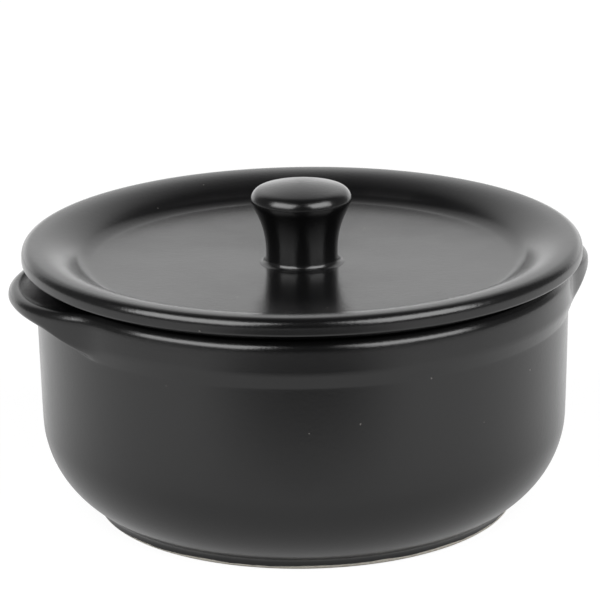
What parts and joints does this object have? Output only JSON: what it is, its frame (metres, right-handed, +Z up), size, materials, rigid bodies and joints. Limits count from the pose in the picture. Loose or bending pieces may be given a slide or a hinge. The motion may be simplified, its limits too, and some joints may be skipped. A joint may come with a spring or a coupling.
{
  "type": "lidded pot",
  "caption": "Round black stoneware casserole with a rim band, lug ears and a foot ring, closed by a lift-off lid with a sunk well and a flared central knob.",
  "frame": {"origin": "middle of the foot ring, on the surface that the pot stands on", "axes": "+Z up along the pot's axis and the way the lid lifts, +X through the middle of the right ear"},
  "size_m": [0.1918, 0.181, 0.1066],
  "materials": {
    "black_glaze": "satin black glaze on stoneware, bare pale clay under the foot ring"
  },
  "bodies": {
    "pot": {"bowl": "black_glaze", "ear_left": "black_glaze", "ear_right": "black_glaze"},
    "lid": {"lid_plate": "black_glaze", "lid_knob": "black_glaze"}
  },
  "joints": [
    {"name": "lid_lift", "type": "slide", "parent": "pot", "child": "lid", "axis": [0, 0, 1], "range_m": [0, 0.12]}
  ]
}
